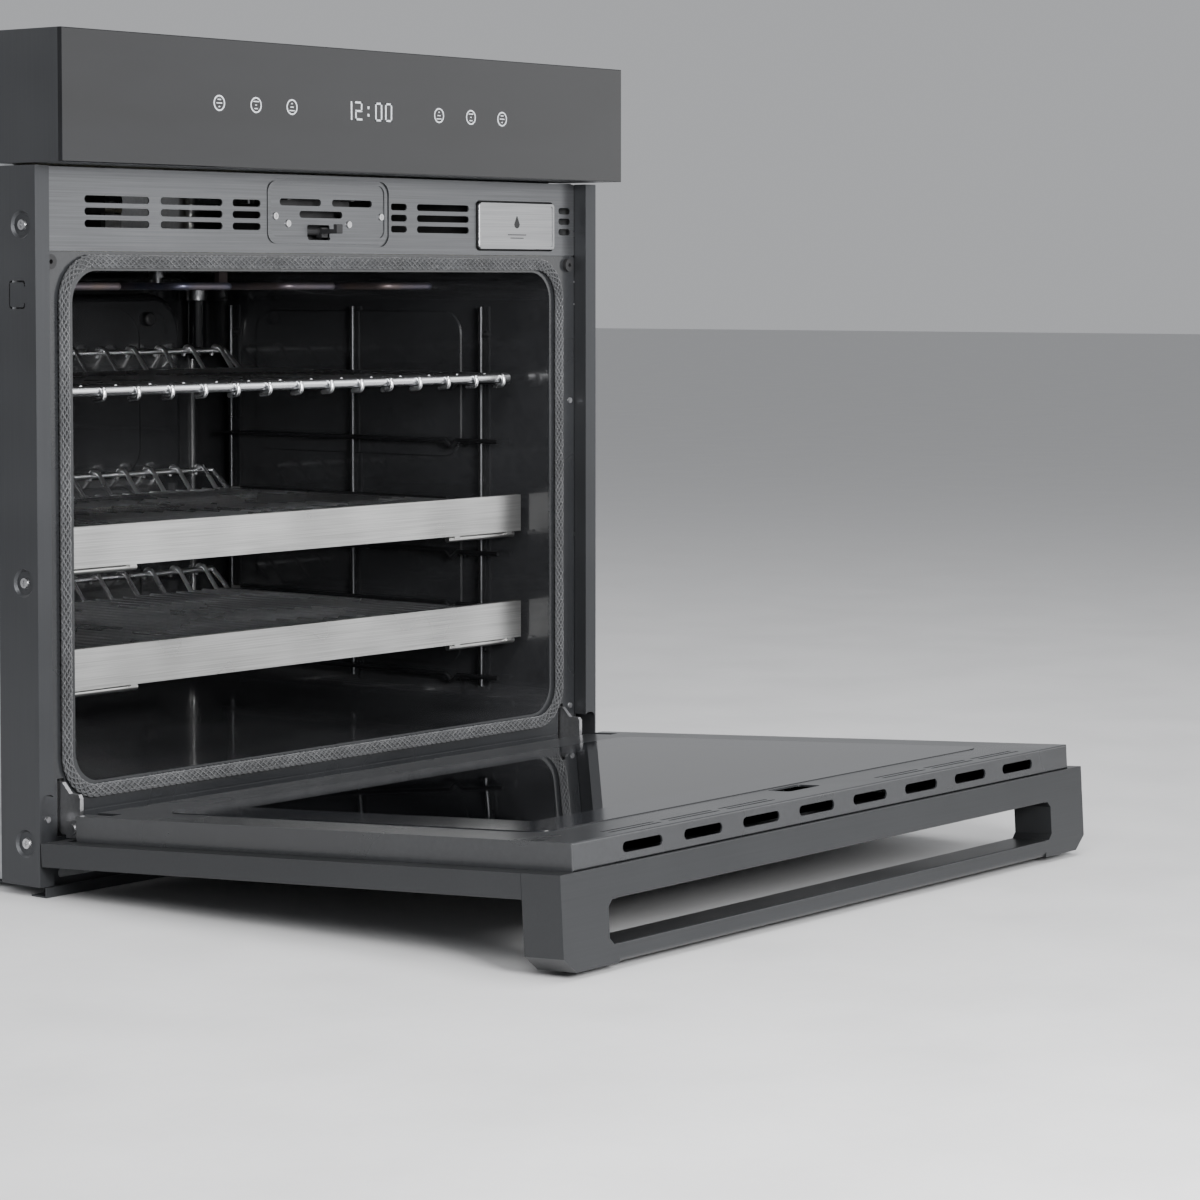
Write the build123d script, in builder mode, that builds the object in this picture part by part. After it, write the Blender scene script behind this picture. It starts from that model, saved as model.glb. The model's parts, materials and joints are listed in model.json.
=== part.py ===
"""Built-in single wall oven with steam water tank, modelled with its door open.

Frame: millimetres, X across the front (0 at mid width), Y into the oven (0 at the front of the
side trims), Z up (0 under the base skids).
"""
from build123d import *
import os
from math import cos, radians, sin

os.makedirs("parts", exist_ok=True)

# ---- driving dimensions ----
width = 756.0
height = 735.0
sheet = 1.5
trim_face = 16.0
trim_depth = 48.0
recess = 15.0
body_half = 360.0
body_top = 690.0
panel_bottom = 623.0
door_open = 86.7
hinge_y = -5.0
hinge_z = 56.5
door_half = width / 2
slab_in = 8.2
slab_out = 28.2
slab_low = -4.6
handle_low = 524.0
handle_top = 562.4
handle_front = 83.2
liner_half = 359.5
liner_low = 19.8
liner_top = 559.7
liner_face = -13.5
cavity_half = 322.5
cavity_floor = 91.5
cavity_roof = 532.5
cavity_back = 515.5
rack_depth = 404.0
rack_front = 58.0
wire_r = 2.3
fan_z = 312.0
blower_y = 350.0
blower_z = 600.0
latch_y = 22.0
latch_z = 569.6

half = width / 2
mouth_mid_z = (cavity_floor + cavity_roof) / 2
mouth_w = 2 * cavity_half
mouth_h = cavity_roof - cavity_floor
door = Plane(
    origin=(0, hinge_y, hinge_z),
    x_dir=(1, 0, 0),
    z_dir=(0, -cos(radians(door_open)), -sin(radians(door_open))),
)


def save(part, name):
    """Label a finished sub-part and write its STEP file."""
    part.label = name
    export_step(part, f"parts/{name}.step")


def slab(x0, x1, y0, y1, z0, z1, mode=Mode.ADD):
    """A box between two corners of the active workplane."""
    middle = ((x0 + x1) / 2, (y0 + y1) / 2, (z0 + z1) / 2)
    with Locations(middle):
        Box(x1 - x0, y1 - y0, z1 - z0, mode=mode)


def plate_xz(y0, y1, x_mid, z_mid, size_x, size_z, corner, mode=Mode.ADD):
    """A round-cornered plate facing the front, from y0 back to y1."""
    with BuildSketch(Plane.XZ.offset(-y1)) as outline:
        with Locations((x_mid, z_mid)):
            RectangleRounded(size_x, size_z, corner)
    extrude(outline.sketch, amount=y1 - y0, mode=mode)


def slots_xz(y0, y1, places, length, tall):
    """Level obround slots cut from y0 back to y1 at the given (x, z) places."""
    with BuildSketch(Plane.XZ.offset(-y1)) as outline:
        with Locations(*places):
            SlotOverall(length, tall)
    extrude(outline.sketch, amount=y1 - y0, mode=Mode.SUBTRACT)


def rod(start, end, radius, mode=Mode.ADD):
    """A straight round bar between two points."""
    line = Vector(*end) - Vector(*start)
    with BuildSketch(Plane(origin=start, z_dir=line)) as section:
        Circle(radius)
    extrude(section.sketch, amount=line.length, mode=mode)


def bent_rod(points, radius, bend):
    """A round bar along points with rounded corners, as a loose solid."""
    with BuildPart(mode=Mode.PRIVATE) as wire:
        with BuildLine() as path:
            FilletPolyline(*points, radius=bend)
        with BuildSketch(Plane(origin=path.line @ 0, z_dir=path.line % 0)):
            Circle(radius)
        sweep()
    return wire.part


# ---- side trims: U-shaped flange channels ----
screw_heights = (46.0, 268.0, 571.0)
dimple_y = 18.0
dimple_r = 12.0
notch_low = 26.0
notch_high = 88.0


def side_trim(side):
    """One flange channel; side is -1 for left and 1 for right."""
    outer = side * half
    inner = side * (half - trim_face)
    wall = side * sheet
    with BuildPart() as trim:
        xs = sorted((outer, inner))
        slab(xs[0], xs[1], 0, sheet, 10, 621)
        xs = sorted((outer, outer - wall))
        slab(xs[0], xs[1], 0, trim_depth, 10, 621)
        xs = sorted((inner, inner + wall))
        slab(xs[0], xs[1], 0, recess - 0.2, 10, 621)
        xs = sorted((outer, inner))
        slab(xs[0], xs[1], trim_depth - sheet, trim_depth, 10, 621)
        with BuildSketch(Plane.XZ.offset(0.5)):
            with Locations(((outer + inner) / 2 - wall, (notch_low + notch_high) / 2)):
                RectangleRounded(trim_face, notch_high - notch_low, 6)
        extrude(amount=-recess, mode=Mode.SUBTRACT)
        skin = Plane(origin=(outer, 0, 0), x_dir=(0, 1, 0), z_dir=(side, 0, 0))
        places = [(dimple_y, z * side) for z in screw_heights]
        with BuildSketch(skin.offset(-4)):
            with Locations(*places):
                Circle(dimple_r + 2)
        extrude(amount=3.5)
        with BuildSketch(skin):
            with Locations(*places):
                Circle(dimple_r)
        extrude(amount=-2.4, taper=40, mode=Mode.SUBTRACT)
        with BuildSketch(skin.offset(1)):
            with Locations(*places):
                Circle(2.6)
        extrude(amount=-8, mode=Mode.SUBTRACT)
        with BuildSketch(skin.offset(1)):
            with Locations((23, 512 * side)):
                RectangleRounded(20, 24, 3)
                RectangleRounded(17, 21, 2, mode=Mode.SUBTRACT)
            with Locations((14, 512 * side)):
                Rectangle(6, 14, mode=Mode.SUBTRACT)
        extrude(amount=-4, mode=Mode.SUBTRACT)
        bolts = Plane(origin=(side * (half - 8), trim_depth + 1, 0), x_dir=(1, 0, 0), z_dir=(0, 1, 0))
        with BuildSketch(bolts):
            with Locations((0, -120), (0, -540)):
                Circle(2.5)
        extrude(amount=-4, mode=Mode.SUBTRACT)
    return trim.part


save(side_trim(-1), "side_trim_left")
save(side_trim(1), "side_trim_right")

# ---- front face around the cavity mouth ----
face_low = 30.0
face_high = 549.0
face_y0 = recess
face_y1 = recess + 2.0
hinge_x = 340.0

face_screws = [(side * 355, z) for side in (-1, 1) for z in (64, 95, 404)]

with BuildPart() as front_frame:
    face_mid = (face_low + face_high) / 2
    plate_xz(face_y0, face_y1, 0, face_mid, 2 * 361.5, face_high - face_low, 3)
    plate_xz(face_y0 - 1, face_y1 + 1, 0, mouth_mid_z, mouth_w, mouth_h, 28, mode=Mode.SUBTRACT)
    slab(-361.5, 361.5, face_y0 - 1, face_y0 + 0.6, 67, 69, mode=Mode.SUBTRACT)
    for x in (-hinge_x, hinge_x):
        slab(x - 4, x + 4, face_y0 - 1, face_y1 + 1, 48, 98, mode=Mode.SUBTRACT)
    slots_xz(face_y0 - 1, face_y1 + 1, [(-350, 540), (350, 540)], 6.4, 6.3)
    with BuildSketch(Plane.XZ.offset(-face_y0 + 1)):
        with Locations(*face_screws):
            Circle(1.9)
    extrude(amount=-4, mode=Mode.SUBTRACT)
save(front_frame.part, "front_frame")

with BuildPart() as cavity_gasket:
    rope = 6.0
    with BuildSketch(Plane.XZ.offset(-face_y0)):
        with Locations((0, mouth_mid_z)):
            RectangleRounded(mouth_w + 36, mouth_h + 28, 40)
            RectangleRounded(mouth_w + 12, mouth_h + 4, 30, mode=Mode.SUBTRACT)
    extrude(amount=rope - 0.5)
    fillet(cavity_gasket.faces().sort_by(Axis.Y)[0].edges(), 4.5)
save(cavity_gasket.part, "cavity_gasket")

with BuildPart() as door_bumpers:
    for x in (-350, 350):
        with BuildSketch(Plane.XZ.offset(-face_y0)):
            with Locations((x, 540)):
                Circle(6.4)
                Circle(2, mode=Mode.SUBTRACT)
        extrude(amount=4)
        with BuildSketch(Plane.XZ.offset(-face_y0)):
            with Locations((x, 540)):
                Circle(3)
                Circle(2, mode=Mode.SUBTRACT)
        extrude(amount=-5)
save(door_bumpers.part, "door_bumpers")

# ---- upper vent panel, latch and tank openings ----
vent_low = 549.3
vent_high = 621.0
vent_rows = (573.0, 583.5, 594.0)
plate_half = 81.0
tank_x = 269.0
tank_w = 116.0
tank_low = 555.0
tank_high = 601.0

with BuildPart() as upper_vent_panel:
    vent_mid = (vent_low + vent_high) / 2
    plate_xz(face_y0, face_y0 + sheet, 0, vent_mid, 2 * 361.5, vent_high - vent_low, 2)
    for x, length in ((-269, 77), (-178.3, 77), (-109, 36), (97, 23), (161, 76), (346, 18)):
        slots_xz(face_y0 - 1, face_y0 + 3, [(x, z) for z in vent_rows], length, 6.4)
    tank_mid = (tank_low + tank_high) / 2
    plate_xz(face_y0 - 1, face_y0 + 3, tank_x, tank_mid, tank_w + 3, tank_high - tank_low + 3, 5,
             mode=Mode.SUBTRACT)
    plate_xz(face_y0 - 1, face_y0 + 3, 0, 586.5, 2 * plate_half + 4, 61, 12, mode=Mode.SUBTRACT)
save(upper_vent_panel.part, "upper_vent_panel")

latch_screw_places = [(-70.4, 583), (-53.7, 576.4), (28.4, 576.4), (73, 584)]
with BuildPart() as latch_plate:
    plate_xz(16.7, 18.2, 0, 586.5, 2 * plate_half + 14, 69, 8)
    plate_xz(15.4, 16.7, 0, 586.5, 2 * plate_half, 57, 11)
    plate_xz(15.0, 16.3, 0, 588.5, 2 * plate_half - 8, 49, 8, mode=Mode.SUBTRACT)
    slots_xz(14, 20, [(-37, 596), (33, 596)], 55, 6.4)
    slots_xz(14, 20, [(-9.4, 585)], 58, 6.4)
    plate_xz(14, 20, -13, 568.5, 30, 14, 2, mode=Mode.SUBTRACT)
    with BuildSketch(Plane.XZ.offset(-14)):
        with Locations(*latch_screw_places):
            Circle(1.8)
    extrude(amount=-6, mode=Mode.SUBTRACT)
save(latch_plate.part, "latch_plate")

with BuildPart() as latch_motor:
    slab(-62, 46, 32, 34, 556, 604)
    for x in (-58, 40):
        slab(x, x + 2, 19, 32, 560, 580)
    for x in (-52, 34):
        slab(x, x + 4, 18.2, 32, 598, 603)
    slab(-40, 20, 34, 72, 574, 604)
    rod((-60, latch_y, latch_z), (44, latch_y, latch_z), 1.6)
save(latch_motor.part, "latch_motor")

with BuildPart() as latch_hook:
    rod((-27.3, latch_y, latch_z), (-0.5, latch_y, latch_z), 3.6)
    slab(-9, -1, -3, latch_y, latch_z - 2, latch_z + 2)
    slab(-9, -1, -3, 1, latch_z, latch_z + 6.5)
    slab(-9, -1, latch_y - 6, latch_y + 1, latch_z - 5.5, latch_z + 3.5)
    rod((-28, latch_y, latch_z), (0, latch_y, latch_z), 1.65, mode=Mode.SUBTRACT)
    fillet(latch_hook.edges().filter_by(Axis.X).group_by(Axis.Y)[0], 1)
save(latch_hook.part, "latch_hook")

# ---- outer casing ----
louvre_rows = [70 + 22 * i for i in range(6)]

with BuildPart() as side_panels:
    for side in (-1, 1):
        outer = side * body_half
        xs = sorted((outer, outer - side * 1.2))
        slab(xs[0], xs[1], 17.4, 598, 10, body_top)
        slab(xs[0] - 1, xs[1] + 1, 10, 46.4, panel_bottom - 1, body_top + 1, mode=Mode.SUBTRACT)
        skin = Plane(origin=(outer + side, 0, 0), x_dir=(0, 1, 0), z_dir=(side, 0, 0))
        places = [(y, side * (bank + z)) for bank in (0, 430) for z in louvre_rows for y in (420, 500)]
        with BuildSketch(skin):
            with Locations(*places):
                SlotOverall(60, 6)
        extrude(amount=-4, mode=Mode.SUBTRACT)
        with BuildSketch(skin.offset(-1)):
            with Locations((230, side * 360)):
                RectangleRounded(300, 460, 30)
                RectangleRounded(292, 452, 26, mode=Mode.SUBTRACT)
        extrude(amount=0.8)
save(side_panels.part, "side_panels")

conduit_x = -250.0
conduit_z = 650.0
conduit_r = 11.0
with BuildPart() as rear_panel:
    slab(-body_half, body_half, 598, 599.5, 10, body_top)
    for x in (-160, -80, 0, 80, 160):
        slots_xz(597, 601, [(x, 600 + 14 * i) for i in range(5)], 64, 6)
    for x in (-80, 0, 80):
        slots_xz(597, 601, [(x, 60 + 14 * i) for i in range(3)], 64, 6)
    with BuildSketch(Plane.XZ.offset(-602)):
        with Locations((conduit_x, conduit_z)):
            Circle(conduit_r + 3)
    extrude(amount=5, mode=Mode.SUBTRACT)
    plate_xz(599.5, 601, 0, 320, 420, 380, 30)
save(rear_panel.part, "rear_panel")

with BuildPart() as top_cover:
    slab(-body_half, body_half, 46.2, 598, body_top, body_top + sheet)
    with BuildSketch(Plane.XY.offset(body_top + sheet)):
        with Locations((0, 340)):
            RectangleRounded(560, 360, 40)
            RectangleRounded(548, 348, 34, mode=Mode.SUBTRACT)
    extrude(amount=1.2)
    with BuildSketch(Plane.XY.offset(body_top - 1)):
        with GridLocations(60, 14, 6, 3):
            with Locations((0, 120)):
                SlotOverall(44, 6)
    extrude(amount=5, mode=Mode.SUBTRACT)
save(top_cover.part, "top_cover")

with BuildPart() as base_pan:
    slab(-358.6, 358.6, 20, 597.8, 8, 9.5)
    for x in (-300, 300):
        slab(x - 20, x + 20, 30, 590, 0, 8)
    slab(-358.6, 358.6, 20, 21.5, 9.5, 29)
    slab(-358.6, -357.1, 21.5, 597.8, 9.5, 24)
    slab(357.1, 358.6, 21.5, 597.8, 9.5, 24)
    slots_xz(19, 23, [(-300 + 60 * i, 20) for i in range(11)], 46, 6)
    fillet(base_pan.edges().filter_by(Axis.Y).group_by(Axis.Z)[0], 2)
save(base_pan.part, "base_pan")

with BuildPart() as bottom_vent_trim:
    slab(-370, 370, 1, 19.5, 0, sheet)
    slab(-370, 370, 1, 2.5, 0, 9)
    slab(-357, 357, 18, 19.5, sheet, 28)
    with BuildSketch(Plane.XY.offset(-1)):
        with Locations(*[(-315 + 70 * i, 10) for i in range(10)]):
            SlotOverall(52, 6)
    extrude(amount=5, mode=Mode.SUBTRACT)
    slots_xz(17, 20, [(-315 + 70 * i, 16) for i in range(10)], 52, 8)
save(bottom_vent_trim.part, "bottom_vent_trim")

with BuildPart() as junction_box:
    slab(-290, -210, 560, 597.8, 622, 678)
    slab(-288.5, -211.5, 561.5, 599, 623.5, 676.5, mode=Mode.SUBTRACT)
    rod((conduit_x, 590, conduit_z), (conduit_x, 606, conduit_z), conduit_r + 2.6)
    rod((conduit_x, 604, conduit_z), (conduit_x, 612, conduit_z), conduit_r + 5)
    rod((conduit_x, 580, conduit_z), (conduit_x, 613, conduit_z), conduit_r, mode=Mode.SUBTRACT)
    slab(-286, -214, 561.5, 575, 640, 646)
save(junction_box.part, "junction_box")

with BuildPart() as casing_screws:
    for side in (-1, 1):
        skin = Plane(origin=(side * (half - 2.4), 0, 0), x_dir=(0, 1, 0), z_dir=(side, 0, 0))
        places = [(dimple_y, z * side) for z in screw_heights]
        with BuildSketch(skin):
            with Locations(*places):
                Circle(5)
        extrude(amount=1.9, taper=20)
        with BuildSketch(skin):
            with Locations(*places):
                Circle(2.3)
        extrude(amount=-9)
        with BuildSketch(skin.offset(1.9)):
            with Locations(*places):
                Rectangle(5, 1)
                Rectangle(1, 5)
        extrude(amount=-1.2, mode=Mode.SUBTRACT)
    rear = [(x, z) for x in (-345, 345) for z in (30, 350, 670)]
    for seat, places, radius, length in (
        (-599.5, rear, 4.2, -2.2),
        (-16.2, latch_screw_places, 3.4, 1.1),
        (-face_y0, face_screws, 3.0, 1.1),
    ):
        with BuildSketch(Plane.XZ.offset(seat)):
            with Locations(*places):
                Circle(radius)
        extrude(amount=length, taper=15)
        with BuildSketch(Plane.XZ.offset(seat + length)):
            with Locations(*places):
                Rectangle(1.1 * radius, 0.8)
                Rectangle(0.8, 1.1 * radius)
        extrude(amount=-0.3 * length, mode=Mode.SUBTRACT)
save(casing_screws.part, "casing_screws")

# ---- control panel ----
with BuildPart() as control_housing:
    slab(-half, half, -29, 46, panel_bottom, height)
    slab(-half + sheet, half - sheet, -30, 46 - sheet, panel_bottom + sheet, height - sheet,
         mode=Mode.SUBTRACT)
    with BuildSketch(Plane.XY.offset(panel_bottom - 1)):
        with Locations(*[(-315 + 70 * i, -6) for i in range(10)]):
            SlotOverall(52, 7)
    extrude(amount=4, mode=Mode.SUBTRACT)
save(control_housing.part, "control_housing")

with BuildPart() as control_glass:
    slab(-half, half, -33.2, -29, panel_bottom, height)
    chamfer(control_glass.faces().sort_by(Axis.Y)[0].edges(), 0.8)
save(control_glass.part, "control_glass")

with BuildPart() as control_board:
    slab(-170, 170, -16, -14.4, 636, 722)
    slab(-60, 60, -28.6, -16, 652, 706)
    for x in (-130, -100, 90, 120, 145):
        slab(x - 9, x + 9, -14.4, -4, 650, 676)
    for x in (-150, 150):
        for z in (642, 716):
            rod((x, -14.4, z), (x, 44.4, z), 3)
save(control_board.part, "control_board")

# ---- cavity ----
steam_x = 250.0
steam_y = 497.0
probe_x = -245.0
probe_z = 527.0
broil_z = 519.0
with BuildPart() as cavity_liner:
    outer_w = mouth_w + 2 * sheet
    outer_h = mouth_h + 2 * sheet
    plate_xz(17.2, cavity_back + sheet, 0, mouth_mid_z, outer_w, outer_h, 29.5)
    plate_xz(17.2, 18.7, 0, mouth_mid_z, outer_w + 14, outer_h + 12, 32)
    plate_xz(17, cavity_back, 0, mouth_mid_z, mouth_w, mouth_h, 28, mode=Mode.SUBTRACT)
    fillet(cavity_liner.edges().filter_by_position(Axis.Y, cavity_back - 0.1, cavity_back + 0.1), 9)
    for side in (-1, 1):
        wall = Plane(origin=(side * cavity_half, 0, 0), x_dir=(0, 1, 0), z_dir=(-side, 0, 0))
        with BuildSketch(wall.offset(-0.5)):
            for z in (205, 419):
                with Locations((275, -side * z)):
                    RectangleRounded(290, 150, 24)
        extrude(amount=2.3, taper=30)
    rod((0, 500, fan_z), (0, 530, fan_z), 9, mode=Mode.SUBTRACT)
    rod((steam_x, steam_y, 525), (steam_x, steam_y, 545), 6, mode=Mode.SUBTRACT)
    rod((probe_x, 490, probe_z), (probe_x, 530, probe_z), 3, mode=Mode.SUBTRACT)
    for x in (-90, -70):
        rod((x, 490, broil_z), (x, 530, broil_z), 4.2, mode=Mode.SUBTRACT)
save(cavity_liner.part, "cavity_liner")

with BuildPart() as cavity_insulation:
    plate_xz(20, 545, 0, 309.5, 2 * 332, 481, 20)
    plate_xz(19, 518, 0, 306, mouth_w + 4, 460, 22, mode=Mode.SUBTRACT)
    rod((0, 510, fan_z), (0, 550, fan_z), 20, mode=Mode.SUBTRACT)
    rod((steam_x, steam_y, 525), (steam_x, steam_y, 560), 9, mode=Mode.SUBTRACT)
    rod((probe_x, 510, probe_z), (probe_x, 550, probe_z), 5, mode=Mode.SUBTRACT)
    for x in (-90, -70):
        rod((x, 510, broil_z), (x, 550, broil_z), 6, mode=Mode.SUBTRACT)
save(cavity_insulation.part, "cavity_insulation")

cover_front = 488.0
with BuildPart() as fan_cover:
    plate_xz(cover_front, cavity_back - 0.2, 0, fan_z, 558, 398, 45)
    fillet(fan_cover.faces().sort_by(Axis.Y)[0].edges(), 9)
    plate_xz(cover_front + sheet + 1.5, cavity_back + 1, 0, fan_z, 553, 393, 43, mode=Mode.SUBTRACT)
    for z in (fan_z + 93.5, fan_z - 93.5):
        with BuildSketch(Plane.XZ.offset(-cover_front + 1)):
            with Locations((0, z)):
                RectangleRounded(432, 179, 34)
        extrude(amount=-2.4, taper=20, mode=Mode.SUBTRACT)
    with BuildSketch(Plane.XZ.offset(-cover_front + 2)):
        with Locations((0, fan_z)):
            with PolarLocations(28, 6):
                Circle(4.5)
            with PolarLocations(46, 12):
                Circle(5.5)
            with PolarLocations(66, 16):
                Circle(6.5)
    extrude(amount=-8, mode=Mode.SUBTRACT)
    with BuildSketch(Plane.XZ.offset(-cover_front + 2)):
        with Locations(*[(x, z) for x in (-226, 226) for z in (fan_z - 172, fan_z + 172)]):
            Circle(3)
    extrude(amount=-8, mode=Mode.SUBTRACT)
save(fan_cover.part, "fan_cover")

with BuildPart() as fan_cover_knobs:
    for x in (-226, 226):
        for z in (fan_z - 172, fan_z + 172):
            with BuildSketch(Plane.XZ.offset(-cover_front)):
                with Locations((x, z)):
                    Circle(7.5)
            extrude(amount=7)
            rod((x, cover_front, z), (x, cavity_back, z), 2.6)
    fillet(fan_cover_knobs.faces().group_by(Axis.Y)[0].edges(), 3)
save(fan_cover_knobs.part, "fan_cover_knobs")

with BuildPart() as convection_fan:
    rod((0, 494, fan_z), (0, 509, fan_z), 16)
    rod((0, 507.5, fan_z), (0, 509, fan_z), 84)
    for i in range(10):
        turn = 36 * i
        with BuildSketch(Plane.XZ.offset(-509)):
            with Locations((0, fan_z)):
                with PolarLocations(48, 1, start_angle=turn):
                    Rectangle(66, 2.2, rotation=18)
        extrude(amount=14)
    rod((0, 500, fan_z), (0, 522, fan_z), 4)
save(convection_fan.part, "convection_fan")

with BuildPart() as ring_heater:
    ring_plane = Plane.XZ.offset(-502)
    with BuildPart(mode=Mode.PRIVATE) as torus:
        with BuildLine(ring_plane) as arc:
            CenterArc((0, fan_z), 104, -80, 340)
        with BuildSketch(Plane(origin=arc.line @ 0, z_dir=arc.line % 0)):
            Circle(3.2)
        sweep()
    add(torus.part)
    for end in (arc.line @ 0, arc.line @ 1):
        rod((end.X, 502, end.Z), (end.X, 514.8, end.Z), 3.0)
save(ring_heater.part, "ring_heater")

with BuildPart() as fan_motor:
    rod((0, 548, fan_z), (0, 590, fan_z), 38)
    fillet(fan_motor.edges().group_by(Axis.Y)[-1], 5)
    slab(-60, 60, 545.2, 548, fan_z - 12, fan_z + 12)
    rod((0, 523, fan_z), (0, 548, fan_z), 6)
save(fan_motor.part, "fan_motor")

with BuildPart() as broil_element:
    points = [(-90, 527, broil_z), (-90, 478, broil_z), (-280, 478, broil_z)]
    for i in range(8):
        x = -280 + 70 * i
        ends = (70, 440) if i % 2 else (440, 70)
        points += [(x, ends[0], broil_z), (x, ends[1], broil_z)]
    points.remove((-280, 440, broil_z))
    points += [(280, 440, broil_z), (280, 478, broil_z), (-70, 478, broil_z), (-70, 527, broil_z)]
    add(bent_rod(points, 3.4, 12))
    for x in (-210, 140):
        slab(x - 6, x + 6, 290, 296, broil_z + 3.2, cavity_roof)
save(broil_element.part, "broil_element")

with BuildPart() as bake_element:
    points = [(-240, 500, 84)]
    for i in range(6):
        x = -240 + 80 * i
        ends = (80, 460) if i % 2 == 0 else (460, 80)
        points += [(x, ends[0], 84), (x + 80, ends[0], 84)]
    points += [(240, 500, 84)]
    add(bent_rod(points, 3.2, 14))
save(bake_element.part, "bake_element")

lamp_x = 306.0
lamp_y = 494.0
with BuildPart() as corner_lamps:
    for x in (-lamp_x, lamp_x):
        rod((x, lamp_y, 440), (x, lamp_y, 503), 10)
    fillet(corner_lamps.edges().group_by(Axis.Z)[0], 4)
save(corner_lamps.part, "corner_lamps")

with BuildPart() as lamp_caps:
    for x in (-lamp_x, lamp_x):
        rod((x, lamp_y, 503), (x, lamp_y, 514), 11)
        rod((x, lamp_y, 514), (x, lamp_y, 522), 5)
    fillet(lamp_caps.edges().filter_by(GeomType.CIRCLE).group_by(Axis.Z)[0], 1.5)
save(lamp_caps.part, "lamp_caps")

with BuildPart() as temperature_probe:
    rod((probe_x, 420, probe_z), (probe_x, 560, probe_z), 2.0)
    rod((probe_x, 496, probe_z), (probe_x, 503, probe_z), 3.4)
save(temperature_probe.part, "temperature_probe")

# ---- ladders that carry the racks ----
guide_levels = (121.9, 194.9, 248.0, 301.9, 361.9, 421.9)
post_x = 316.4
guide_x = 312.2

with BuildPart() as rack_ladders:
    wires = []
    for side in (-1, 1):
        post = side * post_x
        guide = side * guide_x
        for y in (100, 276, 453):
            with BuildPart(mode=Mode.PRIVATE) as upright:
                rod((post, y, 112), (post, y, 498), 2.4)
            wires.append(upright.part)
        for z in guide_levels:
            points = [(guide, 74, z), (guide, 128, z), (guide, 136, z - 7), (guide, 144, z),
                      (guide, 462, z)]
            wires.append(bent_rod(points, wire_r, 2.5))
        for y in (100, 453):
            for z in (150, 470):
                with BuildPart(mode=Mode.PRIVATE) as stud:
                    rod((post, y, z), (side * (cavity_half - 0.1), y, z), 4)
                wires.append(stud.part)
    add(wires)
save(rack_ladders.part, "rack_ladders")


# ---- racks ----
curl_rise = 24.0


def rack_wires(level, pitch, count, curl_every, half_wide, rod_r):
    """Welded wire tray: long wires with rear curls, a front rod, cross rods and side rods."""
    back = rack_front + rack_depth
    wires = []
    for i in range(count):
        x = (i - (count - 1) / 2) * pitch
        points = [(x, rack_front, level), (x, back - 34, level)]
        curl = i % curl_every == 0
        if curl:
            points += [(x, back - 14, level + curl_rise), (x, back - 5, level + curl_rise + 1),
                       (x, back - 2, level + curl_rise - 9)]
            wires.append(bent_rod(points, wire_r, 3.2))
        else:
            points[1] = (x, back - 32, level)
            with BuildPart(mode=Mode.PRIVATE) as plain:
                rod(points[0], points[1], wire_r)
            wires.append(plain.part)
    bars = [
        ((-half_wide, rack_front, level - 3), (half_wide, rack_front, level - 3), rod_r),
        ((-half_wide, 260, level - 3.6), (half_wide, 260, level - 3.6), 2.4),
        ((-half_wide, back - 34, level - 2), (half_wide, back - 34, level - 2), 2.6),
        ((-half_wide, back - 8, level + curl_rise - 4), (half_wide, back - 8, level + curl_rise - 4), 2.8),
        ((-half_wide, rack_front, level - 3), (-half_wide, back - 34, level - 2), 2.6),
        ((half_wide, rack_front, level - 3), (half_wide, back - 34, level - 2), 2.6),
        ((-half_wide, back - 34, level - 2), (-half_wide, back - 8, level + curl_rise - 4), 2.6),
        ((half_wide, back - 34, level - 2), (half_wide, back - 8, level + curl_rise - 4), 2.6),
    ]
    for start, end, radius in bars:
        with BuildPart(mode=Mode.PRIVATE) as bar:
            rod(start, end, radius)
        wires.append(bar.part)
    return wires


top_level = guide_levels[5] + 8.2
with BuildPart() as rack_top:
    parts = rack_wires(top_level, 21, 29, 2, 308.0, 4.5)
    for i in range(0, 29, 2):
        x = (i - 14) * 21
        points = [(x, rack_front + 8, top_level), (x, rack_front - 6.5, top_level),
                  (x, rack_front - 7.5, top_level - 10), (x, rack_front + 5, top_level - 11)]
        parts.append(bent_rod(points, wire_r, 4.0))
    add(parts)
save(rack_top.part, "rack_top")

mid_level = 303.0
low_level = 196.0
roll_half = 288.0


def rolling_rack(level):
    """Close-pitched tray of a roll-out rack, standing on two bearers over its rails."""
    with BuildPart() as tray:
        parts = rack_wires(level, 19.2, 29, 2, roll_half, 3.2)
        for side in (-1, 1):
            with BuildPart(mode=Mode.PRIVATE) as bearer:
                xs = sorted((side * (roll_half - 1), side * (roll_half + 12.8)))
                slab(xs[0], xs[1], rack_front, rack_front + 360, level - 10.8, level - 9)
                xs = sorted((side * (roll_half - 3), side * (roll_half - 1)))
                slab(xs[0], xs[1], rack_front, rack_front + 360, level - 10.8, level)
            parts.append(bearer.part)
        add(parts)
    return tray.part


save(rolling_rack(mid_level), "rack_mid")
save(rolling_rack(low_level), "rack_low")


def rack_trim(level):
    """Brushed front trim with a finger notch along its top and two round pull bars below."""
    low = level - 30
    high = level + 6.5
    with BuildPart() as trim:
        slab(-316, 316, 47, 48.6, low, high)
        slab(-316, 316, 48.6, 54.4, high - 1.6, high)
        slab(-316, 316, 48.6, 53, low, low + 1.6)
        with BuildSketch(Plane.XZ.offset(-46)):
            with Locations((0, high)):
                Trapezoid(360, 5, 60, align=(Align.CENTER, Align.MAX), rotation=180)
        extrude(amount=-4, mode=Mode.SUBTRACT)
        for side in (-1, 1):
            rod((side * 212, 55, low - 3.2), (side * 312, 55, low - 3.2), 3)
            for x in (220, 300):
                slab(side * x - 4, side * x + 4, 48.6, 53, low - 2.6, low + 6)
    return trim.part


save(rack_trim(mid_level), "rack_mid_trim")
save(rack_trim(low_level), "rack_low_trim")


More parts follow.
